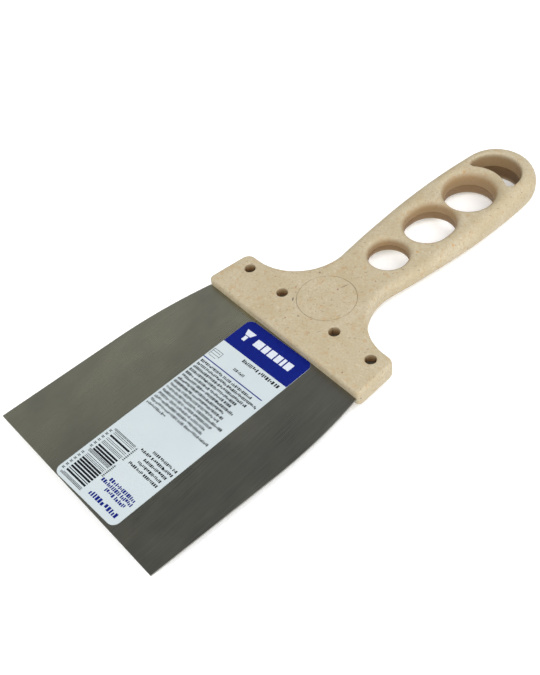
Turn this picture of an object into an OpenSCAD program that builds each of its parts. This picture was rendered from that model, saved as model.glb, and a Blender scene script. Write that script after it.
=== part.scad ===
// Drywall taping knife: a one-piece steel blade moulded into a one-piece composite handle.
// The tool is designed with its working edge on y = 0 and the blade's middle plane on z = 0,
// and place() then moves it to the origin, which is the middle of the footprint, on the ground.

/* [Blade] */
// Width of the working edge
blade_w = 80; // [76:1:90]
// Length of blade that shows in front of the handle
blade_l = 84; // [76:1:96]
// Thickness of the sheet
blade_t = 0.6; // [0.5:0.1:1.2]
// Length over which the sides run parallel, from the working edge
parallel_l = 46; // [30:1:60]
// Width of the sheet where it enters the handle
root_w = 72.4; // [68:0.2:72.6]

/* [Shoulder] */
// Width of the shoulder at its front
shoulder_w = 74.4; // [73:0.2:78]
// Width of the shoulder at its rear
shoulder_rear_w = 72.4; // [71:0.2:73]
// Length of the shoulder along the tool, at its outer ends
shoulder_l = 17.8; // [17:0.2:19]
// Thickness of the shoulder and the neck
shoulder_t = 6.6; // [6:0.2:9]
// Radius of the front corners, in plan
front_corner_r = 1.6; // [1.4:0.2:3]
// Radius of the rear corners, in plan
rear_corner_r = 3.2; // [2:0.2:4]

/* [Grip] */
// Length of the whole tool
tool_l = 204.8; // [204:0.2:212]
// Width of the neck at its narrowest
waist_w = 23.5; // [21:0.5:25]
// Distance of the narrowest point behind the front of the shoulder
waist_y = 37; // [35:0.5:38]
// Width of the grip at its widest
grip_w = 31.6; // [30.4:0.2:33]
// Distance of the widest point behind the front of the shoulder
widest_y = 80; // [77:1:82]
// Plan radius of the sides behind the widest point
rear_side_r = 270; // [230:10:300]
// Thickness of the grip at its end
grip_t = 12; // [11:0.2:14]
// How far the rounding of the edges reaches in across the grip
grip_round = 4.2; // [3:0.2:4.4]

/* [Openings] */
// Radius of the front finger hole
front_hole_r = 7.1; // [6:0.1:7.4]
// Radius of the ends of the oblong middle hole
middle_hole_r = 8.3; // [7:0.1:8.4]
// How much longer than wide the middle hole is
middle_hole_stretch = 2.2; // [0.8:0.2:2.4]
// Radius of the rear finger hole, which also hangs on a peg
rear_hole_r = 8.8; // [8:0.1:9]
// Radius of the outer wall of the crescent slot
slot_outer_r = 9.8; // [9.4:0.1:10]
// Radius of the tips of the crescent slot
slot_tip_r = 1.4; // [1.2:0.1:2]
// Thickness of the arched web between the rear hole and the crescent slot
slot_web = 4.6; // [4.2:0.1:4.8]

/* [Label] */
// Width of the label
label_w = 30; // [26:1:32]
// Length of the label
label_l = 82.8; // [76:0.2:82.8]
// Thickness of the film
label_t = 0.12; // [0.1:0.01:0.2]
// Angle at which the label was stuck on, off the tool's axis
label_skew = 2.2; // [0:0.1:2.4]

/* [Hidden] */
$fn = 96;

// Stations along the tool, from the working edge
front_y = blade_l;
rear_y = front_y + shoulder_l;
waist_at = front_y + waist_y;
widest_at = front_y + widest_y;
swell_from = widest_at - 36;
swell_to = tool_l - 6;
round_from = rear_y + 2;
round_to = round_from + 46;

// Holes: the tool's own stations, lands and flares
front_hole_y = front_y + 50.7;
middle_hole_y = front_y + 71.4;
rear_hole_y = front_y + 91.8;
front_flare = 2;
middle_flare = 2.8;
rear_flare = 3.7;
flare_steps = 4;
flare_end = 72;
rim_run = 3;
over = 20;
slot_y = rear_hole_y + 13;
slot_inner_r = rear_hole_r + slot_web;

// Blind holes left by the mould's support pins, and the mould insert's witness groove
pin_hole_r = 2;
pin_hole_x = [12.85, 29.75];
pin_hole_y = front_y + 12.8;
witness_r = 10.5;
witness_y = front_y + 21.5;
witness_w = 0.25;
witness_depth = 0.15;

// Hidden part of the blade, inside the handle
tang_w = 66;
tang_l = 15.4;
tang_corner_r = 2;
tongue_w = 13;
tongue_l = 40;
window_r = 3;
window_x = 21.3;
window_y = front_y + 7.5;
tongue_window_y = front_y + 25;

// Label: its place, its corners and its printed band
label_x = 4.8;
label_y = 0.7;
label_corner_r = 2.6;

// Edge rounding of the shoulder, as plan inset and as share of the half thickness
shoulder_round = 1.2;
shoulder_round_share = 0.34;
grip_round_share = 0.9;
round_steps = 4;

// Radii and centres that make the sides of the handle one smooth line
waist_r = waist_at - rear_y;
waist_c = [waist_w / 2 + waist_r, waist_at];
front_corner_c = [shoulder_w / 2 - front_corner_r, front_y + front_corner_r];
rear_corner_c = [shoulder_rear_w / 2 - rear_corner_r, rear_y - rear_corner_r];
corner_gap = rear_corner_c - front_corner_c;
side_a = atan2(corner_gap.y, corner_gap.x) - acos((front_corner_r - rear_corner_r) / norm(corner_gap));
front_side_r = (pow(waist_c.x - grip_w / 2, 2) + pow(widest_y - waist_y, 2) - pow(waist_r, 2))
    / (2 * (waist_r - waist_c.x + grip_w / 2));
front_side_c = [grip_w / 2 - front_side_r, widest_at];
front_side_a = atan2(waist_at - widest_at, waist_c.x - front_side_c.x);
rear_side_c = [grip_w / 2 - rear_side_r, widest_at];
end_r = (pow(rear_side_r, 2) - pow(rear_side_c.x, 2) - pow(tool_l - widest_at, 2))
    / (2 * (rear_side_r - tool_l + widest_at));
end_c = [0, tool_l - end_r];
end_a = atan2(end_c.y - widest_at, -rear_side_c.x);
end_gap_a = 3;

function mix(a, b, s) = a + (b - a) * s;
function ease(s) = let (t = min(max(s, 0), 1)) t * t * (3 - 2 * t);

// Half thickness, plan inset of the rounding and height of the rounding at a station
function half_t(y) = mix(shoulder_t, grip_t, ease((y - swell_from) / (swell_to - swell_from))) / 2;
function rounding(y) = ease((y - round_from) / (round_to - round_from));
function inset(y) = mix(shoulder_round, grip_round, rounding(y));
function round_h(y) = half_t(y) * mix(shoulder_round_share, grip_round_share, rounding(y));

// Points of an arc as [x, y, normal x, normal y]; side is 1 on a bulge and -1 in a hollow
function arc(c, r, from, to, n, side = 1, first = 0) = [
    for (i = [first:n])
        let (a = mix(from, to, i / n))
        [c.x + r * cos(a), c.y + r * sin(a), side * cos(a), side * sin(a)]
];

// One side of the handle's outline, from the front corner to the end of the grip
front_corner_steps = 4;
rear_corner_steps = 6;
right_side = concat(
    arc(front_corner_c, front_corner_r, -90, side_a, front_corner_steps),
    arc(rear_corner_c, rear_corner_r, side_a, 90, rear_corner_steps),
    arc(waist_c, waist_r, -90, -180 + front_side_a, 16, -1),
    arc(front_side_c, front_side_r, front_side_a, 0, 9, 1, 1),
    arc(rear_side_c, rear_side_r, 0, end_a, 7, 1, 1),
    arc(end_c, end_r, end_a, 90 - end_gap_a, 10, 1, 1)
);
half_n = len(right_side);
outline = concat(
    right_side,
    [for (i = [half_n - 1:-1:0]) let (p = right_side[i]) [-p.x, p.y, -p[2], p[3]]]
);
ring_n = len(outline);

// Rings of the handle's skin, from the top face over the rounded edge to the bottom face
edge_angles = [for (i = [0:round_steps]) 90 * (1 - i / round_steps)];
rings = concat(
    [for (a = edge_angles) [a, 1]],
    [for (i = [round_steps:-1:0]) [edge_angles[i], -1]]
);
function skin_point(p, a, up) = let (
    d = inset(p.y) * (1 - cos(a)),
    z = half_t(p.y) - round_h(p.y) * (1 - sin(a))
) [p.x - p[2] * d, p.y - p[3] * d, up * z];

// Each face is one polygon over the shoulder's bar, and strips across the neck and the grip
bar_n = front_corner_steps + rear_corner_steps + 3;
function face_polygon() = concat([for (i = [0:bar_n - 1]) i], [for (i = [bar_n:-1:1]) ring_n - i]);
function face_strips() = [
    for (i = [bar_n - 1:half_n - 2])
        let (j = ring_n - 1 - i)
        each [[i, i + 1, j - 1], [i, j - 1, j]]
];
function flip(face) = [for (i = [len(face) - 1:-1:0]) face[i]];
function lift(face, by) = [for (i = face) i + by];
function walls() = [
    for (k = [0:len(rings) - 2], i = [0:ring_n - 1])
        let (a = k * ring_n + i, b = k * ring_n + (i + 1) % ring_n)
        each [[a, a + ring_n, b], [b, a + ring_n, b + ring_n]]
];

module handle_skin() {
    faces_top = concat([face_polygon()], face_strips());
    last_ring = (len(rings) - 1) * ring_n;
    polyhedron(
        points = [for (r = rings, p = outline) skin_point(p, r[0], r[1])],
        faces = concat(
            [for (f = faces_top) flip(f)],
            [for (f = faces_top) lift(f, last_ring)],
            [for (f = walls()) flip(f)]
        ),
        convexity = 8
    );
}

// Half the cross-section of a finger hole: a straight land, then a rim that opens out
function rim(r, land, flare) = concat(
    [for (i = [0:flare_steps]) let (a = flare_end * i / flare_steps)
        [r + flare * (1 - cos(a)), land + flare * sin(a)]],
    [[r + flare * (1 - cos(flare_end)) + rim_run * sin(flare_end),
        land + flare * sin(flare_end) + rim_run * cos(flare_end)]]
);
function profile(r, land, flare) = let (up = rim(r, land, flare)) concat(
    [for (i = [len(up) - 1:-1:0]) [up[i].x, -up[i].y]],
    up
);
function land_at(y, r, flare) = half_t(y + r / 2) - flare;

module round_hole(y, r, flare) {
    translate([0, y, 0])
        rotate_extrude()
            polygon(concat([[0, -over]], profile(r, land_at(y, r, flare), flare), [[0, over]]));
}

module long_hole(y, r, stretch, flare) {
    side = profile(r, land_at(y, r, flare), flare);
    for (end = [-1, 1])
        translate([0, y + end * stretch / 2, 0])
            rotate_extrude() polygon(concat([[0, -over]], side, [[0, over]]));
    translate([0, y + stretch / 2, 0])
        rotate([90, 0, 0])
            linear_extrude(stretch)
                for (mirrored = [0, 1])
                    mirror([mirrored, 0]) polygon(concat([[0, -over]], side, [[0, over]]));
}

// Crescent slot in plan: a disc less the web's disc, with round tips that touch both
module crescent() {
    to_disc = slot_outer_r - slot_tip_r;
    to_web = slot_inner_r + slot_tip_r;
    step = slot_y - rear_hole_y;
    tip_dy = (pow(to_web, 2) - pow(to_disc, 2) - pow(step, 2)) / (2 * step);
    tip = [sqrt(pow(to_disc, 2) - pow(tip_dy, 2)), tip_dy];
    on_disc = tip * slot_outer_r / to_disc;
    from_web = tip + [0, step];
    on_web = from_web * slot_inner_r / to_web - [0, step];
    half = [on_web, tip, on_disc, [on_disc.x, slot_outer_r + 1]];
    translate([0, slot_y]) {
        intersection() {
            difference() {
                circle(slot_outer_r);
                translate([0, -step]) circle(slot_inner_r);
            }
            polygon(concat(half, [for (i = [3:-1:0]) [-half[i].x, half[i].y]]));
        }
        for (x = [-tip.x, tip.x]) translate([x, tip.y]) circle(slot_tip_r);
    }
}

// Sides of the sheet: straight from the working edge, then drawn in on a large radius
module sheet_outline() {
    narrowing = (blade_w - root_w) / 2;
    taper_l = blade_l - parallel_l;
    side_r = (pow(taper_l, 2) + pow(narrowing, 2)) / (2 * narrowing);
    translate([-blade_w / 2, 0]) square([blade_w, parallel_l]);
    intersection() {
        translate([-blade_w / 2, parallel_l]) square([blade_w, taper_l]);
        translate([blade_w / 2 - side_r, parallel_l]) circle(side_r, $fn = 720);
        translate([side_r - blade_w / 2, parallel_l]) circle(side_r, $fn = 720);
    }
}

// Part of the sheet that the handle is moulded over, with the windows that lock it
module tang_outline() {
    difference() {
        union() {
            translate([-tang_w / 2, front_y]) square([tang_w, tang_l - tang_corner_r]);
            translate([tang_corner_r - tang_w / 2, front_y])
                square([tang_w - 2 * tang_corner_r, tang_l]);
            for (x = [-1, 1])
                translate([x * (tang_w / 2 - tang_corner_r), front_y + tang_l - tang_corner_r])
                    circle(tang_corner_r);
            translate([-tongue_w / 2, front_y]) square([tongue_w, tongue_l - tongue_w / 2]);
            translate([0, front_y + tongue_l - tongue_w / 2]) circle(tongue_w / 2);
        }
        for (x = [-window_x, window_x]) translate([x, window_y]) circle(window_r);
        translate([0, tongue_window_y]) circle(window_r);
    }
}

module place() {
    translate([0, -tool_l / 2, grip_t / 2]) children();
}

module blade() {
    color([0.44, 0.44, 0.4])
        place()
            linear_extrude(blade_t, center = true) {
                sheet_outline();
                tang_outline();
            }
}

module handle() {
    color([0.79, 0.72, 0.58])
        place()
            difference() {
                handle_skin();
                linear_extrude(blade_t, center = true) {
                    tang_outline();
                    translate([-tang_w / 2, front_y - 1]) square([tang_w, 1]);
                }
                round_hole(front_hole_y, front_hole_r, front_flare);
                long_hole(middle_hole_y, middle_hole_r, middle_hole_stretch, middle_flare);
                round_hole(rear_hole_y, rear_hole_r, rear_flare);
                linear_extrude(2 * over, center = true) crescent();
                for (x = pin_hole_x, side = [-1, 1])
                    translate([side * x, pin_hole_y, -over]) cylinder(r = pin_hole_r, h = 2 * over);
                witness_groove();
            }
}

module witness_groove() {
    translate([0, witness_y, shoulder_t / 2 - witness_depth])
        difference() {
            cylinder(r = witness_r + witness_w / 2, h = 1);
            translate([0, 0, -1]) cylinder(r = witness_r - witness_w / 2, h = 3);
        }
}

module label() {
    straight = [label_w / 2 - label_corner_r, label_l - 2 * label_corner_r];
    color([0.8, 0.86, 0.88])
        place()
            translate([label_x, label_y, blade_t / 2])
                rotate(label_skew)
                    linear_extrude(label_t) {
                        translate([-label_w / 2, label_corner_r]) square([label_w, straight.y]);
                        translate([-straight.x, 0]) square([2 * straight.x, label_l]);
                        for (x = [-straight.x, straight.x], y = [0, straight.y])
                            translate([x, y + label_corner_r]) circle(label_corner_r);
                    }
}

blade();
handle();
label();
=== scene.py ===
# %% [markdown]
# # A taping knife, built around its CAD frame
#
# The tool is three things on a bench: a thin steel blade, a pale composite handle that is
# moulded over the blade's root in one shot, and a printed film label. The CAD frame already
# holds their true sizes and places. This lesson loads that frame, models a better handle over
# the plain one, prints the label, and gives every surface a procedural finish.

# %% Load the frame
import math
import random

import bmesh
import bpy
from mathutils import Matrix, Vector


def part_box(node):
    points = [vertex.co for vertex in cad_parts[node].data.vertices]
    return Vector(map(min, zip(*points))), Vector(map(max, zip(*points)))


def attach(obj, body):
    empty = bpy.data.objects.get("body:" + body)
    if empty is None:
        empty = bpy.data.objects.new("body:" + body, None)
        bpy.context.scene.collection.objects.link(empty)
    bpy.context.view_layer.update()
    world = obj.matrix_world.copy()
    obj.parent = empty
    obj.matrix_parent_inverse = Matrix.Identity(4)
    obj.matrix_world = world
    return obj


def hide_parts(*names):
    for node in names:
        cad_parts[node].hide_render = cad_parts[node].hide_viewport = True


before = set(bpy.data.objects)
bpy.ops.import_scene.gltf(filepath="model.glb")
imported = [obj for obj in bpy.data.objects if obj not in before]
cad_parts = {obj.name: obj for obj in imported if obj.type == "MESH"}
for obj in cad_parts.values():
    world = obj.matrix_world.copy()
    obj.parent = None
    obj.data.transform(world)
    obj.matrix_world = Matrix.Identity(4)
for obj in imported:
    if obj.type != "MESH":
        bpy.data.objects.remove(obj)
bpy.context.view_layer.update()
MM = 0.001
print("CAD nodes:", sorted(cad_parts))

# %% [markdown]
# Every place in this lesson comes from the boxes of the three CAD nodes. The blade's middle
# plane is also the handle's parting plane, because the mould closes on the sheet. Stations
# along the handle are counted in millimetres from the front of its shoulder, as on a drawing.

# %% Read the datums
blade_low, blade_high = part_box("blade")
handle_low, handle_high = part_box("handle")
label_low, label_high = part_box("label")
MID_Z = (blade_low.z + blade_high.z) / 2
FRONT_Y = handle_low.y
GRIP_L = (handle_high.y - FRONT_Y) / MM
print("parting plane at", round(MID_Z / MM, 2), "mm, handle length", round(GRIP_L, 2), "mm")


def along(station):
    """The row-frame y of a station counted in mm from the front of the shoulder."""
    return FRONT_Y + station * MM

# %% [markdown]
# ## Small helpers
#
# Every operator works on what is selected, so these helpers open a piece with nothing selected,
# pick its points by their place, and settle or cut it as on a bench.

# %% Helpers for modelling with operators
def only(*pieces):
    """Select these pieces and nothing else; the last one is active."""
    bpy.ops.object.select_all(action="DESELECT")
    for piece in pieces:
        piece.select_set(True)
    bpy.context.view_layer.objects.active = pieces[-1]


def edit(piece):
    """Open a piece in edit mode with nothing selected."""
    only(piece)
    bpy.ops.object.mode_set(mode="EDIT")
    bpy.ops.mesh.select_mode(type="VERT")
    bpy.ops.mesh.select_all(action="DESELECT")


def done():
    """Close edit mode."""
    bpy.ops.object.mode_set(mode="OBJECT")


def named(name):
    """Name the new piece and settle its place into its points."""
    piece = bpy.context.object
    piece.name = name
    piece.data.name = name
    bpy.ops.object.transform_apply(location=True, rotation=True, scale=True)
    return piece


def pick(piece, test):
    """Select the points of the open piece that pass a test on their place."""
    mesh = bmesh.from_edit_mesh(piece.data)
    for vert in mesh.verts:
        vert.select_set(bool(test(vert.co)))
    mesh.select_flush(True)
    bmesh.update_edit_mesh(piece.data)


def apply(piece, kind, **settings):
    """Add a modifier, set it and apply it."""
    only(piece)
    modifier = piece.modifiers.new(kind.title(), kind)
    for key, value in settings.items():
        setattr(modifier, key, value)
    bpy.ops.object.modifier_apply(modifier=modifier.name)


def cut(piece, tool):
    """Cut a tool's shape out of a piece, and throw the tool away."""
    apply(piece, "BOOLEAN", object=tool, operation="DIFFERENCE", solver="EXACT")
    bpy.data.objects.remove(tool)


def tell(piece):
    """Print what a piece has come to."""
    size = [round(v / MM, 2) for v in piece.dimensions]
    print(piece.name, "faces", len(piece.data.polygons), "size in mm", size)


# %% [markdown]
# ## Drawing an outline
#
# A mould maker draws the handle as a chain of arcs that run into each other without a corner.
# The same chain can be walked with two operators: one point is extruded along each straight
# run and spun about each arc's centre. With no window, spin turns clockwise for a positive
# angle, so the helper turns the sign round and counts angles anticlockwise, as on paper. Only
# the right half is drawn. The mirror modifier makes the left half, so both sides match.

# %% Walk an outline with extrude and spin
def start_outline(name, x, station):
    """A piece that is one single point, open in edit mode and selected."""
    bpy.ops.object.select_all(action="DESELECT")
    bpy.ops.mesh.primitive_plane_add(size=MM, location=(x * MM, along(station), MID_Z))
    piece = named(name)
    edit(piece)
    bpy.ops.mesh.select_all(action="SELECT")
    bpy.ops.mesh.merge(type="CENTER")
    return piece


def line_by(dx, dy):
    """Extrude the selected point by a straight step."""
    step = (dx * MM, dy * MM, 0)
    bpy.ops.mesh.extrude_vertices_move(TRANSFORM_OT_translate={"value": step})


def arc(centre, degrees, steps):
    """Spin the selected point about a centre, anticlockwise for positive degrees."""
    bpy.ops.mesh.spin(steps=steps, angle=-math.radians(degrees), use_auto_merge=False,
                      center=(centre[0] * MM, along(centre[1]), MID_Z), axis=(0, 0, 1))


def close_outline(piece):
    """Mirror the drawn half, weld it on the middle line and fill the outline with one face."""
    done()
    apply(piece, "MIRROR", use_axis=(True, False, False), merge_threshold=0.01 * MM)
    edit(piece)
    bpy.ops.mesh.select_all(action="SELECT")
    bpy.ops.mesh.remove_doubles(threshold=0.005 * MM)
    bpy.ops.mesh.edge_face_add()
    done()


def polar(centre, radius, degrees):
    """The point at an angle on a circle."""
    turn = math.radians(degrees)
    return centre[0] + radius * math.cos(turn), centre[1] + radius * math.sin(turn)


# %% [markdown]
# ## The handle's outline
#
# Six arcs make one side of the handle: the tight front corner, the round rear corner of the
# shoulder, the hollow of the neck, the long swell of the grip, its nearly straight rear side,
# and the round end. Where two arcs touch, their centres and the touching point lie on one line.
# That rule gives every radius and angle below from a few widths and lengths.

# %% The drawing's dimensions, in mm from the front of the shoulder
SHOULDER_W, SHOULDER_REAR_W, SHOULDER_L = 74.4, 72.4, 17.8
FRONT_CORNER_R, REAR_CORNER_R = 1.6, 3.2
WAIST_W, WAIST_Y = 23.5, 37.0
GRIP_W, WIDEST_Y = 31.6, 80.0
REAR_SIDE_R = 270.0

front_corner = (SHOULDER_W / 2 - FRONT_CORNER_R, FRONT_CORNER_R)
rear_corner = (SHOULDER_REAR_W / 2 - REAR_CORNER_R, SHOULDER_L - REAR_CORNER_R)
corner_gap = Vector(rear_corner) - Vector(front_corner)
side_turn = (math.degrees(math.atan2(corner_gap.y, corner_gap.x))
             - math.degrees(math.acos((FRONT_CORNER_R - REAR_CORNER_R) / corner_gap.length)))
waist_r = WAIST_Y - SHOULDER_L
waist = (WAIST_W / 2 + waist_r, WAIST_Y)
reach, rise = waist[0] - GRIP_W / 2, WIDEST_Y - WAIST_Y
swell_r = (reach ** 2 + rise ** 2 - waist_r ** 2) / (2 * (waist_r - reach))
swell = (GRIP_W / 2 - swell_r, WIDEST_Y)
swell_turn = math.degrees(math.atan2(WIDEST_Y - WAIST_Y, waist[0] - swell[0]))
rear_side = (GRIP_W / 2 - REAR_SIDE_R, WIDEST_Y)
rise = GRIP_L - WIDEST_Y
end_r = (REAR_SIDE_R ** 2 - rear_side[0] ** 2 - rise ** 2) / (2 * (REAR_SIDE_R - rise))
end = (0.0, GRIP_L - end_r)
end_turn = math.degrees(math.atan2(end[1] - WIDEST_Y, -rear_side[0]))
print("radii in mm: neck", round(waist_r, 1), "swell", round(swell_r, 1), "end", round(end_r, 1))

# %% Walk the handle's outline; each arc ends with its number of short edges
handle = start_outline("handle_body", 0, 0)
line_by(front_corner[0], 0)
arc(front_corner, 90 + side_turn, 8)
side_from = polar(front_corner, FRONT_CORNER_R, side_turn)
side_to = polar(rear_corner, REAR_CORNER_R, side_turn)
line_by(side_to[0] - side_from[0], side_to[1] - side_from[1])
arc(rear_corner, 90 - side_turn, 12)
line_by(waist[0] - rear_corner[0], 0)
arc(waist, -90 - swell_turn, 40)
arc(swell, swell_turn, 24)
arc(rear_side, end_turn, 20)
arc(end, 90 - end_turn, 24)
close_outline(handle)
tell(handle)

# %% [markdown]
# ## Giving the outline its thickness
#
# The handle is 6.6 mm thick at the shoulder and swells to 12 mm at the end, and its edges go
# from a small round to nearly a half circle. So the flat outline can't just be extruded: it
# climbs through levels, and at each level every point is pulled in and lifted by an amount that
# depends on its own station. To let the faces bend with the swell, the outline is first sliced
# across with bisect. Each point also has to remember its place and which way is outwards,
# and a point attribute keeps both while the outline is extruded.

# %% Slice, remember and climb
def ease(share):
    """0 to 1 with a soft start and end."""
    share = min(max(share, 0), 1)
    return share * share * (3 - 2 * share)


def slice_across(piece, stations):
    """Cut a flat outline across at some stations."""
    edit(piece)
    for station in stations:
        bpy.ops.mesh.select_all(action="SELECT")
        bpy.ops.mesh.bisect(plane_co=(0, along(station), 0), plane_no=(0, 1, 0))
    done()


def outward(vert):
    """Which way is out of a flat outline at one of its points."""
    out = Vector()
    for edge in vert.link_edges:
        if edge.is_boundary:
            corner = edge.link_loops[0]
            walk = corner.link_loop_next.vert.co - corner.vert.co
            out += walk.normalized().cross(corner.face.normal)
    return out.normalized()


def climb(piece, levels):
    """Raise a flat outline into a solid. A level gives, at a station, the push and the height."""
    edit(piece)
    bpy.ops.mesh.select_all(action="SELECT")
    mesh = bmesh.from_edit_mesh(piece.data)
    mesh.normal_update()
    base = mesh.verts.layers.float_vector.new("base")
    out = mesh.verts.layers.float_vector.new("out")
    for vert in mesh.verts:
        vert[base], vert[out] = vert.co, outward(vert)
    for number, level in enumerate(levels):
        if number:
            bpy.ops.mesh.extrude_region_move()
        mesh = bmesh.from_edit_mesh(piece.data)
        base = mesh.verts.layers.float_vector["base"]
        out = mesh.verts.layers.float_vector["out"]
        for vert in mesh.verts:
            if vert.select:
                push, height = level((vert[base].y - FRONT_Y) / MM)
                vert.co = vert[base] + vert[out] * push * MM + Vector((0, 0, height * MM))
        bmesh.update_edit_mesh(piece.data)
    bpy.ops.mesh.select_all(action="SELECT")
    bpy.ops.mesh.normals_make_consistent(inside=False)
    done()


# %% Levels of the handle
SHOULDER_T, GRIP_T = 6.6, 12.0
SWELL_FROM, SWELL_TO = 44.0, 114.8
ROUND_FROM, ROUND_TO = 19.8, 65.8
EDGE_IN = (1.2, 4.2)
EDGE_SHARE = (0.34, 0.9)
EDGE_STEPS = 10
SLICES, SLICE_PITCH = 32, 3.0


def half_thickness(station):
    """Half the handle's thickness at a station."""
    swell_share = ease((station - SWELL_FROM) / (SWELL_TO - SWELL_FROM))
    return (SHOULDER_T + (GRIP_T - SHOULDER_T) * swell_share) / 2


def edge_level(degrees, up):
    """One ring of the rounded edge: 90 degrees is the face and 0 is the side wall."""
    def level(station):
        share = ease((station - ROUND_FROM) / (ROUND_TO - ROUND_FROM))
        inset = EDGE_IN[0] + (EDGE_IN[1] - EDGE_IN[0]) * share
        tall = half_thickness(station) * (EDGE_SHARE[0] + (EDGE_SHARE[1] - EDGE_SHARE[0]) * share)
        turn = math.radians(degrees)
        height = half_thickness(station) - tall * (1 - math.sin(turn))
        return -inset * (1 - math.cos(turn)), up * height
    return level


edge_turns = [90 * step / EDGE_STEPS for step in range(EDGE_STEPS + 1)]
slice_across(handle, [SHOULDER_L + SLICE_PITCH * (step + 1) for step in range(SLICES)])
climb(handle, [edge_level(turn, -1) for turn in reversed(edge_turns)]
      + [edge_level(turn, 1) for turn in edge_turns])
tell(handle)

# %% [markdown]
# ## Finger holes and the crescent slot
#
# The holes are cut by tools that have the shape of the mould's own core pins. A pin is straight
# at the parting plane and flares out until it runs into the faces, so the finger meets no edge.
# Each tool is a disc that climbs through levels, like the handle did. Because a level knows the
# handle's thickness at its station, the flare follows the swelling faces. The middle disc is
# pulled apart by its halves first, which makes the hole oblong.

# %% Tools for the three finger holes
CLEAR = 10.0
FLARE_TURNS = [8 * step for step in range(11)]
DRAFT = math.tan(math.radians(3))


def flare_level(flare, degrees, up):
    """One ring of a core pin: 0 degrees ends its straight part, 90 would be in the face."""
    def level(station):
        turn = math.radians(degrees)
        height = half_thickness(station) - flare * (1 - math.sin(turn))
        return flare * (1 - math.cos(turn)) + DRAFT * (half_thickness(station) - flare), up * height
    return level


def past_the_face(flare, up):
    """The last ring of a core pin, well clear of the handle."""
    turn = math.radians(FLARE_TURNS[-1])
    return lambda station: (flare * (1 - math.cos(turn)) + DRAFT * flare, up * CLEAR)


def core_disc(name, station, radius, stretch):
    """A disc on the parting plane, pulled apart along the handle by stretch."""
    bpy.ops.object.select_all(action="DESELECT")
    bpy.ops.mesh.primitive_circle_add(vertices=128, radius=radius * MM, fill_type="NGON",
                                      location=(0, along(station), MID_Z))
    tool = named(name)
    edit(tool)
    for way in (1, -1):
        pick(tool, lambda co: way * (co.y - along(station)) > 0.01 * MM)
        bpy.ops.transform.translate(value=(0, way * stretch / 2 * MM, 0))
    done()
    return tool


def finger_tool(name, station, radius, flare, stretch=0.0):
    """A core pin for a finger hole."""
    tool = core_disc(name, station, radius, stretch)
    climb(tool, [past_the_face(flare, -1)]
          + [flare_level(flare, turn, -1) for turn in reversed(FLARE_TURNS)]
          + [lambda station: (0, 0)]
          + [flare_level(flare, turn, 1) for turn in FLARE_TURNS]
          + [past_the_face(flare, 1)])
    return tool


FRONT_HOLE = dict(station=50.7, radius=7.1, flare=2.0)
MIDDLE_HOLE = dict(station=71.4, radius=8.3, flare=2.8, stretch=2.2)
REAR_HOLE = dict(station=91.8, radius=8.8, flare=3.7)
for name, hole in (("front", FRONT_HOLE), ("middle", MIDDLE_HOLE), ("rear", REAR_HOLE)):
    tool = finger_tool(name + "_core_pin", **hole)
    tell(tool)
    cut(handle, tool)
tell(handle)

# %% [markdown]
# The crescent behind the rear hole is bounded by three circles. One is the slot's outer wall,
# one is the arched web that shares its centre with the rear hole, and a small one rounds each
# tip and touches both. Its walls are plain, with the draft that lets the mould open and a
# narrow round at the rim.

# %% Tool for the crescent slot
SLOT_OUTER_R, SLOT_TIP_R, SLOT_WEB = 9.8, 1.4, 4.6
SLOT_STEP = 13.0
SLOT_RIM = 0.8
SLOT_DRAFT = math.tan(math.radians(1.5))

web_centre = (0.0, REAR_HOLE["station"])
slot_centre = (0.0, REAR_HOLE["station"] + SLOT_STEP)
web_r = REAR_HOLE["radius"] + SLOT_WEB
to_web, to_slot = web_r + SLOT_TIP_R, SLOT_OUTER_R - SLOT_TIP_R
tip_rise = (to_web ** 2 - to_slot ** 2 + SLOT_STEP ** 2) / (2 * SLOT_STEP)
tip = (math.sqrt(to_web ** 2 - tip_rise ** 2), web_centre[1] + tip_rise)
web_turn = math.degrees(math.atan2(tip_rise, tip[0]))
slot_turn = math.degrees(math.atan2(tip[1] - slot_centre[1], tip[0]))


def slot_level(degrees, up):
    """One ring of the slot's core: a drafted wall, then a narrow round at the rim."""
    def level(station):
        turn = math.radians(degrees)
        height = half_thickness(station) - SLOT_RIM * (1 - math.sin(turn))
        return SLOT_DRAFT * height + SLOT_RIM * (1 - math.cos(turn)), up * height
    return level


def crescent_disc(name):
    """The slot's outline on the parting plane, as a flat disc."""
    disc = start_outline(name, 0, web_centre[1] + web_r)
    arc(web_centre, web_turn - 90, 24)
    arc(tip, 180 + slot_turn - web_turn, 16)
    arc(slot_centre, 90 - slot_turn, 36)
    close_outline(disc)
    return disc


slot_tool = crescent_disc("crescent_core")
climb(slot_tool, [lambda station: (SLOT_RIM, -CLEAR)]
      + [slot_level(turn, -1) for turn in (60, 30, 0)]
      + [lambda station: (0, 0)]
      + [slot_level(turn, 1) for turn in (0, 30, 60)]
      + [lambda station: (SLOT_RIM, CLEAR)])
tell(slot_tool)
cut(handle, slot_tool)
tell(handle)

# %% [markdown]
# ## From a cut solid to a moulded skin
#
# The tools leave ridges where two flares meet, above all on the narrow webs between the holes.
# In the real mould these ridges are rubbed smooth. A voxel remesh turns the solid into one even
# skin, and a smooth modifier then melts the ridges into soft saddles.

# %% Remesh and melt the ridges
VOXEL = 0.42
apply(handle, "REMESH", mode="VOXEL", voxel_size=VOXEL * MM)
apply(handle, "SMOOTH", factor=0.5, iterations=6)
tell(handle)

# %% [markdown]
# ## Crisp marks of the mould
#
# Some marks stay sharp and are cut after the smoothing. Four support pins in each half of the
# mould held the sheet in the middle while the composite flowed round it, and they left round
# holes that end on the steel. A round insert left a hair-thin ring on the neck. Where the core
# pins of the two halves meet, a fine line runs round each opening. The pocket for the blade's
# root is cut with a copy of the blade itself, so the two fit face to face.

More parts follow.
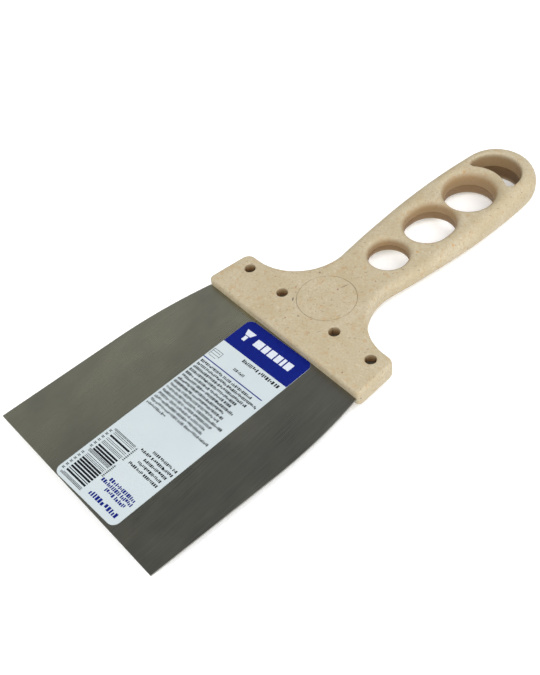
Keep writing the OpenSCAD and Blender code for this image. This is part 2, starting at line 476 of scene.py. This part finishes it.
# %% Tools for the pin holes, the ring, the fine lines and the pocket
PIN_R = 2.0
PIN_X = (12.85, 29.75)
PIN_Y = 12.8
RING_R, RING_Y = 10.5, 21.5
RING_W, RING_DEPTH = 0.22, 0.2
SEAM_W, SEAM_DEPTH = 0.25, 0.14


def pin_tool(x):
    """A support pin through both halves, with a slightly opened rim on each face."""
    bpy.ops.object.select_all(action="DESELECT")
    bpy.ops.mesh.primitive_circle_add(vertices=48, radius=PIN_R * MM, fill_type="NGON",
                                      location=(x * MM, along(PIN_Y), MID_Z))
    tool = named("support_pin")
    rim = SHOULDER_T / 2
    climb(tool, [lambda station: (0.6, -rim - 0.5), lambda station: (0.12, -rim),
                 lambda station: (0, 0.15 - rim), lambda station: (-0.05, 0),
                 lambda station: (0, rim - 0.15), lambda station: (0.12, rim),
                 lambda station: (0.6, rim + 0.5)])
    return tool


def ring_tool():
    """A thin upright band, let into the top face by the depth of the groove."""
    bpy.ops.object.select_all(action="DESELECT")
    bpy.ops.mesh.primitive_circle_add(vertices=160, radius=(RING_R - RING_W / 2) * MM,
                                      location=(0, along(RING_Y), MID_Z))
    tool = named("insert_ring")
    edit(tool)
    bpy.ops.mesh.select_all(action="SELECT")
    bpy.ops.transform.translate(value=(0, 0, (SHOULDER_T / 2 - RING_DEPTH) * MM))
    bpy.ops.mesh.extrude_region_move(TRANSFORM_OT_translate={"value": (0, 0, MM)})
    done()
    apply(tool, "SOLIDIFY", thickness=RING_W * MM, offset=1.0)
    return tool


def seam_tool(disc):
    """Turn a disc on the parting plane into the tool for the fine line round an opening."""
    climb(disc, [lambda station: (SEAM_DEPTH, -SEAM_W / 2),
                 lambda station: (SEAM_DEPTH, SEAM_W / 2)])
    return disc


def blade_tool():
    """A welded copy of the blade, which cuts its own pocket."""
    only(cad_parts["blade"])
    bpy.ops.object.duplicate()
    tool = named("blade_copy")
    tool.parent = None
    edit(tool)
    bpy.ops.mesh.select_all(action="SELECT")
    bpy.ops.mesh.remove_doubles(threshold=0.001 * MM)
    bpy.ops.mesh.normals_make_consistent(inside=False)
    done()
    return tool


# %% Cut the pocket, the pin holes, the ring and the fine lines
cut(handle, blade_tool())
for x in PIN_X:
    for side in (1, -1):
        cut(handle, pin_tool(side * x))
cut(handle, ring_tool())
for hole in (FRONT_HOLE, MIDDLE_HOLE, REAR_HOLE):
    disc = core_disc("seam_core", hole["station"], hole["radius"], hole.get("stretch", 0.0))
    cut(handle, seam_tool(disc))
cut(handle, seam_tool(crescent_disc("seam_core")))
only(handle)
bpy.ops.object.shade_smooth_by_angle(angle=math.radians(32))
tell(handle)

# %% [markdown]
# ## The print on the label
#
# The label is a white film with three inks: a blue band and blue lines, near-black small print
# and white marks on the band. Ink could be painted in a material, but then its edges would only
# be as sharp as a texture. Here each ink is a very thin layer of geometry, built flat in the
# label's own frame, in mm from the middle of the label's foot, and then laid on the film, which
# was stuck on a little askew. Plain blocks and rows of uneven ticks stand for the words. They
# keep the grey value of small print and say nothing.

# %% Draw flat blocks in the label's frame
LABEL_W, LABEL_L, LABEL_SKEW = 30.0, 82.8, math.radians(2.2)
INK_T = 0.012
CORNER_R = 2.6
label_middle = (label_low + label_high) / 2
dice = random.Random(20)


def block(left, bottom, right, top):
    """Add one flat block to the open ink, by its sides in mm in the label's frame."""
    bpy.ops.mesh.primitive_plane_add(
        size=MM, location=((left + right) / 2 * MM, (bottom + top) / 2 * MM, 0))
    bpy.ops.transform.resize(value=(right - left, top - bottom, 1))


def start_ink(name):
    """An empty ink layer, open in edit mode."""
    bpy.ops.object.select_all(action="DESELECT")
    bpy.ops.mesh.primitive_plane_add(size=MM)
    ink = named(name)
    edit(ink)
    bpy.ops.mesh.select_all(action="SELECT")
    bpy.ops.mesh.delete(type="VERT")
    return ink


def lay_ink(ink, level=0):
    """Give the flat ink its thickness and lay it on the film; level 1 prints over level 0."""
    bpy.ops.mesh.select_all(action="SELECT")
    bpy.ops.mesh.normals_make_consistent(inside=False)
    bpy.ops.mesh.extrude_region_move(TRANSFORM_OT_translate={"value": (0, 0, INK_T * MM)})
    bpy.ops.mesh.select_all(action="SELECT")
    bpy.ops.mesh.normals_make_consistent(inside=False)
    done()
    foot = Vector((math.sin(LABEL_SKEW), -math.cos(LABEL_SKEW), 0)) * LABEL_L / 2 * MM
    ink.rotation_euler.z = LABEL_SKEW
    ink.location = (label_middle.x + foot.x, label_middle.y + foot.y,
                    label_high.z + level * INK_T * MM)
    named(ink.name)
    tell(ink)


def small_print(left, right, foot, tall, weight):
    """A line of mock words: ticks of uneven height, some of them wide."""
    here = left
    while here < right - tall:
        word_end = min(here + dice.uniform(2.5, 7.0) * tall, right - 1.4 * weight)
        while here < word_end:
            low = foot + dice.choice((0, 0, 0, 0.25)) * tall
            high = foot + dice.choice((1, 1, 1, 0.7)) * tall
            wide = weight * dice.choice((1, 1, 1.6))
            block(here, low, here + wide, high)
            here += wide + dice.uniform(0.16, 0.28) * tall
        here = word_end + 0.45 * tall


def round_corners(ink, radius, test):
    """Round the corner points of the open ink that pass a test on their place."""
    pick(ink, test)
    bpy.ops.mesh.bevel(offset=radius * MM, offset_type="OFFSET", segments=10, affect="VERTICES")


# %% Blue ink
blue_ink = start_ink("label_print_blue")
BAND_FOOT = 70.45
INK_MARGIN = 0.02
block(INK_MARGIN - LABEL_W / 2, BAND_FOOT, LABEL_W / 2 - INK_MARGIN, LABEL_L - INK_MARGIN)
round_corners(blue_ink, CORNER_R - INK_MARGIN, lambda co: co.y > (LABEL_L - 1) * MM)
block(INK_MARGIN - LABEL_W / 2, 61.3, 13.1, 61.7)
for left, foot in ((0.8, 9.5), (-1.2, 7.9), (2.6, 6.2)):
    small_print(left, 13.6, foot, 1.3, 0.46)
small_print(-0.2, 13.4, 2.3, 1.7, 0.62)
lay_ink(blue_ink)

# %% Dark ink
dark_ink = start_ink("label_print_dark")
small_print(-3.6, 3.6, 68.1, 1.35, 0.34)
small_print(4.2, 13.5, 68.1, 1.35, 0.5)
small_print(-3.2, 1.8, 63.8, 1.1, 0.3)
LINES, LINE_PITCH = 15, 1.65
for line in range(LINES):
    line_end = -4.5 if line == LINES - 1 else dice.uniform(8.0, 14.2)
    small_print(-14.2, line_end, 59.3 - line * LINE_PITCH, 1.05, dice.choice((0.28, 0.33, 0.4)))
for line, left in enumerate((2.9, -0.8, 2.9, 2.1, 0.2)):
    small_print(left, 14.0, 24.9 - 1.86 * line, 1.0, 0.34)

# %% Bar code with made-up bars, which codes nothing
BAR_LEFT, BAR_RIGHT = -12.3, -2.8
here = 1.2
while here < 22.9:
    guard = here < 2.0 or 11.4 < here < 12.9 or here > 22.3
    thick = 0.2 if guard else dice.choice((0.18, 0.18, 0.18, 0.3, 0.7))
    block(BAR_LEFT - (0.9 if guard else 0), here, BAR_RIGHT, here + thick)
    here += thick + (0.2 if guard else dice.choice((0.3, 0.4, 0.7)))
for start, stop in ((2.2, 11.2), (13.0, 22.2)):
    for step in range(6):
        low = start + (stop - start) * (step + 0.25) / 6
        block(-14.2, low, -13.1, low + 0.2)
        block(-14.2, low + 0.5, -13.1, low + 0.7)
        block(-13.75, low, -13.55, low + 0.7)
for start, stop in ((9.0, 14.4), (17.0, 23.0)):
    for step in range(9):
        low = start + (stop - start) * step / 9
        block(-2.4, low, -1.5, low + 0.2)
    block(-2.0, start, -1.85, stop)

# %% A small pictogram of a wall with three courses
for low, left, right in ((63.0, -13.9, -11.0), (64.1, -14.4, -10.4), (65.2, -14.4, -10.9)):
    block(left, low, right, low + 0.16)
block(-14.5, 63.0, -14.34, 66.2)
block(-10.5, 63.8, -10.34, 66.2)
block(-14.5, 66.1, -10.34, 66.26)
lay_ink(dark_ink)

# %% White ink on the band: a plain pictogram of a knife and blocks where words would be
white_ink = start_ink("label_print_white")
block(-12.4, 77.0, -8.2, 79.2)
pick(white_ink, lambda co: co.y < 78 * MM)
bpy.ops.transform.resize(value=(0.55, 1, 1))
block(-11.0, 74.6, -9.6, 76.7)
here = -6.3
for width in (3.4, 2.2, 2.6, 2.2, 1.2, 2.6):
    block(here, 75.3, here + width, 78.4)
    here += width + 0.55
lay_ink(white_ink, 1)

# %% [markdown]
# ## Materials
#
# A finish is a small network of nodes. These helpers add a node and wire its inputs, so each
# material below reads like a recipe. Patterns take Object coordinates, which are metres on the
# tool itself, so they stay put when the camera or the tool moves.

# %% Helpers for node materials
class Recipe:
    """A material being mixed: node() adds a node, sets it up and wires its inputs."""

    def __init__(self, name):
        self.material = bpy.data.materials.new(name)
        self.material.use_nodes = True
        self.tree = self.material.node_tree
        self.shader = self.tree.nodes["Principled BSDF"]
        self.place = self.node("TexCoord").outputs["Object"]

    def node(self, kind, inputs=(), **settings):
        """Add a node, set its options and fill its inputs."""
        added = self.tree.nodes.new("ShaderNode" + kind)
        for key, value in settings.items():
            setattr(added, key, value)
        for key, value in dict(inputs).items():
            self.wire(added.inputs[key], value)
        return added

    def wire(self, socket, value):
        """Link another node's output to a socket, or set the socket's own value."""
        if isinstance(value, bpy.types.NodeSocket):
            self.tree.links.new(value, socket)
        else:
            socket.default_value = value

    def set(self, **values):
        """Set or wire the shader's own sockets; Base_Color stands for "Base Color"."""
        for key, value in values.items():
            self.wire(self.shader.inputs[key.replace("_", " ")], value)

    def mapped(self, scale, turn=0.0, place=(0, 0, 0)):
        """Object coordinates moved, turned and scaled, for grain, fibres and single flecks."""
        inputs = {"Vector": self.place, "Scale": scale, "Location": place,
                  "Rotation": (0, 0, math.radians(turn))}
        return self.node("Mapping", inputs, vector_type="TEXTURE").outputs["Vector"]

    def noise(self, scale, detail=2.0, rough=0.5, place=None):
        """A soft random pattern; scale counts its lumps in a metre."""
        inputs = {"Vector": place or self.place, "Scale": scale, "Detail": detail,
                  "Roughness": rough}
        return self.node("TexNoise", inputs).outputs["Fac"]

    def curve(self, value, low, high, to_low=0.0, to_high=1.0):
        """Stretch a value from one range to another, clamped."""
        inputs = {"Value": value, "From Min": low, "From Max": high, "To Min": to_low,
                  "To Max": to_high}
        return self.node("MapRange", inputs).outputs["Result"]

    def mix(self, share, first, second):
        """Blend two colours by a share."""
        added = self.node("Mix", data_type="RGBA")
        self.wire(added.inputs[0], share)
        self.wire(added.inputs[6], first)
        self.wire(added.inputs[7], second)
        return added.outputs[2]

    def maths(self, operation, first, second):
        """Do one sum on two values."""
        added = self.node("Math", operation=operation)
        self.wire(added.inputs[0], first)
        self.wire(added.inputs[1], second)
        return added.outputs[0]

    def bump(self, height, distance, strength=1.0, under=None):
        """Dent the surface by a height; under is a bump that lies below this one."""
        inputs = {"Height": height, "Distance": distance, "Strength": strength}
        if under is not None:
            inputs["Normal"] = under
        return self.node("Bump", inputs).outputs["Normal"]


def colour(red, green, blue):
    """A colour given as on screen, 0 to 255, turned into the linear values a shader wants."""
    def linear(value):
        value /= 255
        return value / 12.92 if value < 0.04045 else ((value + 0.055) / 1.055) ** 2.4
    return linear(red), linear(green), linear(blue), 1.0


def dress(piece, material):
    """Put one material on a piece."""
    piece.data.materials.clear()
    piece.data.materials.append(material)
    print(piece.name, "wears", material.name, "with", len(material.node_tree.nodes), "nodes")


# %% [markdown]
# ### Fibre composite
#
# The handle is wood flour and short plant fibres in a pale binder. Seen close, the colour drifts
# softly, a fine grain lies over it, and here and there a fibre or a chip of bark shows as a
# reddish, ochre or dark fleck. Scattered flecks come from Voronoi cells: each cell gets one
# fleck at its centre if the cell's random colour says so. Stretching the coordinates first
# turns dots into fibres. The walls of the holes get painted shade, darker deeper in and on their
# lower halves, with painted shade and warm bounce light in the pin holes; a point attribute carries
# it.

# %% Paint shade on the hole walls through a point attribute
WALL_SHADE_DEPTH, PIN_SHADE_DEPTH = 2.4, 1.2
WALL_SHADE, PIN_SHADE = 0.5, 1.2


def painted_shade_of(x, station, height):
    """How much painted shade a point gets: 0 on the skin, half on upper walls, more on lower ones
    and pins.
    """
    depth = half_thickness(station) - abs(height)
    # Painted shade and warm painted bounce light in the pin holes, strongest at the steel.
    if any(math.hypot(abs(x) - pin, station - PIN_Y) < PIN_R + 0.15 for pin in PIN_X):
        return ease(depth / PIN_SHADE_DEPTH) * PIN_SHADE
    for centre, reach, lower_shade in openings:
        if math.hypot(x, station - centre) < reach:
            # Painted shade: the lower half of each wall faces down, so it is painted darker.
            below = 1 - ease((height + 0.3) / 0.6)
            return ease(depth / WALL_SHADE_DEPTH) * (WALL_SHADE + lower_shade * below)
    return 0.0


def paint_hole_shade(piece):
    """Store the painted shade of every point on the piece."""
    attribute = piece.data.attributes.new("hole_painted_shade", "FLOAT", "POINT")
    shade_values = [painted_shade_of(vert.co.x / MM, (vert.co.y - FRONT_Y) / MM, (vert.co.z - MID_Z) / MM)
              for vert in piece.data.vertices]
    attribute.data.foreach_set("value", shade_values)
    print("points on hole walls:", sum(1 for stain in shade_values if stain > 0.3))


# Each opening has its station, the reach of its walls and the extra painted shade of its lower
# half.
openings = [(hole["station"], hole["radius"] + hole.get("stretch", 0.0) + 1.4, 0.3)
            for hole in (FRONT_HOLE, MIDDLE_HOLE, REAR_HOLE)]
openings.append((slot_centre[1], SLOT_OUTER_R + 0.9, 0.5))
paint_hole_shade(handle)


# %% Flecks and stray fibres
def flecks(mat, cell, reach, share, scale=(1, 1, 1), turn=0.0):
    """Scattered flecks: one in a share of the cells, each reach of a cell wide."""
    place = mat.mapped([cell * MM * s for s in scale], turn)
    cells = mat.node("TexVoronoi", {"Vector": place, "Scale": 1.0})
    dice_roll = mat.node("SeparateColor", {"Color": cells.outputs["Color"]})
    near = mat.curve(cells.outputs["Distance"], reach * 0.55, reach, 1.0, 0.0)
    chosen = mat.curve(dice_roll.outputs[0], share, share + 0.01, 1.0, 0.0)
    return mat.maths("MULTIPLY", near, chosen)


def mark_at(mat, x, station, length, width, turn):
    """One stray fibre at a known spot on the top face."""
    place = mat.mapped((width / 2 * MM, length / 2 * MM, 0.6 * MM), turn,
                       (x * MM, along(station), MID_Z + SHOULDER_T / 2 * MM))
    reach = mat.node("VectorMath", {0: place}, operation="LENGTH").outputs["Value"]
    return mat.curve(reach, 0.6, 1.0, 1.0, 0.0)


# %% Fibre composite
STRAY_FIBRES = ((0.5, 29.4, 3.6, 0.45, -16, colour(110, 84, 66)),
                (-0.1, 26.7, 0.9, 0.8, 0, colour(140, 80, 72)),
                (-7.8, 13.2, 1.9, 0.6, 42, colour(52, 50, 60)))


def composite():
    """Pale binder, grain, fibres and chips, the stray fibres and the painted shade on the hole
    walls, in turn.
    """
    mat = Recipe("fibre_composite")
    drift = mat.curve(mat.noise(110, 4, 0.6), 0.36, 0.64)
    body = mat.mix(drift, colour(180, 170, 146), colour(169, 157, 128))
    grain = mat.curve(mat.noise(1500, 3, 0.7), 0.3, 0.7, 0.0, 0.8)
    body = mat.mix(grain, body, colour(158, 143, 116))
    speck = mat.curve(mat.noise(1000, 2, 0.6), 0.6, 0.72, 0.0, 0.4)
    body = mat.mix(speck, body, colour(196, 184, 160))
    hazy = mat.curve(mat.noise(600, 2, 0.5), 0.56, 0.7, 0.0, 0.5)
    body = mat.mix(hazy, body, colour(166, 136, 96))
    fibre_colours = (colour(132, 106, 76), colour(146, 100, 70), colour(100, 88, 72))
    for number, tint in enumerate(fibre_colours):
        fibres = flecks(mat, 1.9, 0.17, 0.35, (0.45, 2.0, 1.0), 37 + 61 * number)
        body = mat.mix(mat.maths("MULTIPLY", fibres, 0.65), body, tint)
    for number, tint in enumerate((colour(124, 70, 48), colour(70, 58, 50), colour(172, 130, 72))):
        chips = flecks(mat, 4.0 + number, 0.085, 0.3, (1, 1.4, 1), 20 + 50 * number)
        body = mat.mix(mat.maths("MULTIPLY", chips, 0.75), body, tint)
    for x, station, length, width, turn, tint in STRAY_FIBRES:
        stray = mark_at(mat, x, station, length, width, turn)
        body = mat.mix(mat.maths("MULTIPLY", stray, 0.85), body, tint)
    # Painted shade in the holes: tan, then dark brown lower down, then orange painted bounce light
    # deep in the pins.
    wall = mat.node("Attribute", attribute_name="hole_painted_shade").outputs["Fac"]
    body = mat.mix(mat.curve(wall, 0.0, 0.5, 0.0, 0.8), body, colour(136, 106, 68))
    body = mat.mix(mat.curve(wall, 0.5, 1.0, 0.0, 0.8), body, colour(96, 68, 36))
    body = mat.mix(mat.curve(wall, 1.0, 1.2, 0.0, 0.8), body, colour(150, 90, 38))
    pores = mat.noise(1100, 3, 0.65)
    waves = mat.noise(260, 2, 0.5)
    fine = mat.bump(pores, 0.05 * MM, 0.6)
    mat.set(Base_Color=body, Roughness=mat.curve(pores, 0.3, 0.7, 0.52, 0.7),
            Normal=mat.bump(waves, 0.12 * MM, 0.5, fine), Specular_IOR_Level=0.35)
    return mat.material


dress(handle, composite())

# %% [markdown]
# ### Satin steel
#
# The blade is cold-rolled spring steel, buffed lightly along its length and then handled. Three
# scales make it read as steel: long hair-fine scratches in the roughness and bump, soft smudges
# a finger wide, and a painted reflection across the blade, lighter and warmer towards -x and
# darker towards +x, stirred by a soft cloud of random tone.

# %% Satin steel
def steel():
    """Two sets of scratches, a smudge and a painted reflection gradient with random tone, over bare
    metal.
    """
    mat = Recipe("satin_steel")
    scratches = mat.noise(1.0, 4, 0.7, mat.mapped((0.12 * MM, 14 * MM, 1 * MM), 6))
    hairlines = mat.noise(1.0, 2, 0.6, mat.mapped((0.35 * MM, 40 * MM, 1 * MM), -3))
    smudge = mat.noise(1.0, 4, 0.55, mat.mapped((16 * MM, 30 * MM, 20 * MM), 20))
    cloud = mat.noise(1.0, 3, 0.5, mat.mapped((22 * MM, 18 * MM, 20 * MM), -30))
    across = mat.node("SeparateXYZ", {"Vector": mat.place}).outputs["X"]
    # Painted reflection: colour falls from light warm to darker grey across x, mixed with a cloud
    # of random tone.
    painted_sheen_and_tone = mat.maths("ADD", mat.curve(across, -40 * MM, 40 * MM, -0.3, 0.7), cloud)
    tint = mat.mix(mat.curve(painted_sheen_and_tone, 0.45, 1.1), colour(166, 166, 146), colour(124, 124, 119))
    tint = mat.mix(mat.curve(smudge, 0.35, 0.7, 0.0, 0.75), tint, colour(122, 122, 113))
    tint = mat.mix(mat.curve(scratches, 0.4, 0.7, 0.0, 0.3), tint, colour(165, 164, 154))
    rough = mat.maths("ADD", mat.curve(smudge, 0.3, 0.7, 0.25, 0.36),
                      mat.curve(scratches, 0.3, 0.7, -0.04, 0.05))
    groove = mat.bump(scratches, 0.002 * MM, 0.3)
    mat.set(Base_Color=tint, Metallic=1.0, Roughness=rough,
            Normal=mat.bump(hairlines, 0.003 * MM, 0.25, groove))
    return mat.material


dress(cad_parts["blade"], steel())

# %% [markdown]
# ### Film and inks
#
# The film is a cool white with a satin skin that dips slightly over the steel. Screen ink covers
# a little unevenly, so each ink varies between a full and a thin shade, and its gloss varies
# with it.

# %% Film and inks
def film():
    """Cool white film with a faint drift of tone."""
    mat = Recipe("label_film")
    drift = mat.curve(mat.noise(60, 3, 0.5), 0.35, 0.65)
    skin = mat.noise(1.0, 2, 0.5, mat.mapped((3 * MM, 7 * MM, 3 * MM), 2))
    mat.set(Base_Color=mat.mix(drift, colour(183, 192, 195), colour(178, 188, 192)),
            Roughness=mat.curve(skin, 0.3, 0.7, 0.34, 0.46),
            Normal=mat.bump(skin, 0.02 * MM, 0.35))
    return mat.material


def ink(name, full, thin):
    """Matt ink between a full and a thin shade."""
    mat = Recipe(name)
    cover = mat.curve(mat.noise(900, 3, 0.6), 0.35, 0.75)
    mat.set(Base_Color=mat.mix(cover, full, thin), Roughness=mat.curve(cover, 0, 1, 0.5, 0.6),
            Normal=mat.bump(mat.noise(1200, 2), 0.004 * MM, 0.4), Specular_IOR_Level=0.15)
    return mat.material


dress(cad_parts["label"], film())
dress(blue_ink, ink("blue_ink", colour(0, 16, 100), colour(0, 24, 110)))
dress(dark_ink, ink("dark_ink", colour(10, 12, 16), colour(24, 27, 32)))
dress(white_ink, ink("white_ink", colour(196, 201, 210), colour(184, 190, 203)))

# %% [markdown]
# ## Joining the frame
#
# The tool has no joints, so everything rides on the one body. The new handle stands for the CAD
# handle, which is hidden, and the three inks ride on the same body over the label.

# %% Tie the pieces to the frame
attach(handle, "root")
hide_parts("handle")
for print_layer in (blue_ink, dark_ink, white_ink):
    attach(print_layer, "root")
print("pieces tied to the frame: 4")

# %% [markdown]
# ## Floor, light and camera
#
# The tool lies on a plain pale floor that glows a little, like a light table. A polished blade
# shows whatever is in front of it, so the light is chosen for the steel first: the sky is bright
# at the horizon and dim overhead, which gives the blade its fall from light to dark, and two
# wide softboxes light the handle from where the blade can't mirror them to the camera.

# %% Floor
FLOOR_GLOW = 0.2
bpy.ops.object.select_all(action="DESELECT")
bpy.ops.mesh.primitive_plane_add(size=4)
floor = named("studio_floor")
floor_mat = Recipe("studio_floor")
paper = floor_mat.mix(floor_mat.noise(8), colour(246, 246, 246), colour(240, 240, 240))
floor_mat.set(Base_Color=paper, Roughness=0.9, Emission_Color=(1, 1, 1, 1),
              Emission_Strength=FLOOR_GLOW)
dress(floor, floor_mat.material)

# %% Sky that is brighter at the horizon than overhead
HORIZON, ZENITH = 0.85, 0.05
FALL_FROM, FALL_TO = 0.55, 0.88
world = bpy.data.worlds.new("studio")
bpy.context.scene.world = world
world.use_nodes = True
sky = world.node_tree
background = sky.nodes["Background"]
background.inputs["Color"].default_value = (1, 1, 1, 1)
direction = sky.nodes.new("ShaderNodeTexCoord").outputs["Generated"]
split = sky.nodes.new("ShaderNodeSeparateXYZ")
fall = sky.nodes.new("ShaderNodeMapRange")
fall.inputs["From Min"].default_value = FALL_FROM
fall.inputs["From Max"].default_value = FALL_TO
fall.inputs["To Min"].default_value = HORIZON
fall.inputs["To Max"].default_value = ZENITH
sky.links.new(direction, split.inputs[0])
sky.links.new(split.outputs["Z"], fall.inputs["Value"])
sky.links.new(fall.outputs["Result"], background.inputs["Strength"])
print("sky strength falls from", HORIZON, "to", ZENITH)


# %% Softboxes
def softbox(name, place, aim, size, watts):
    """A square area light at a place in metres, turned to face its aim."""
    lamp = bpy.data.lights.new(name, "AREA")
    lamp.size = size
    lamp.energy = watts
    item = bpy.data.objects.new(name, lamp)
    bpy.context.scene.collection.objects.link(item)
    item.location = place
    item.rotation_euler = (Vector(aim) - Vector(place)).to_track_quat("-Z", "Y").to_euler()
    print(name, watts, "W from", round(item.location.length, 2), "m away")


softbox("rear_softbox", (0.5, 0.35, 0.8), (0, 0, 0), 0.9, 8)
softbox("front_softbox", (0.3, -0.6, 0.8), (0, 0, 0), 0.9, 8.5)

# %% Camera
CAMERA_PLACE = (193.75, -155.97, 274.46)
CAMERA_TURN = (41.34, 5.763, 48.868)
LENS = 57.86
camera_data = bpy.data.cameras.new("camera")
camera = bpy.data.objects.new("camera", camera_data)
bpy.context.scene.collection.objects.link(camera)
camera_data.lens = LENS
camera_data.sensor_width = 36
camera_data.clip_start = 0.01
camera.location = [v * MM for v in CAMERA_PLACE]
camera.rotation_euler = [math.radians(angle) for angle in CAMERA_TURN]
bpy.context.scene.camera = camera
bpy.context.scene.view_settings.view_transform = "Standard"
print("camera", round(camera.location.length / MM), "mm away, lens", LENS, "mm")
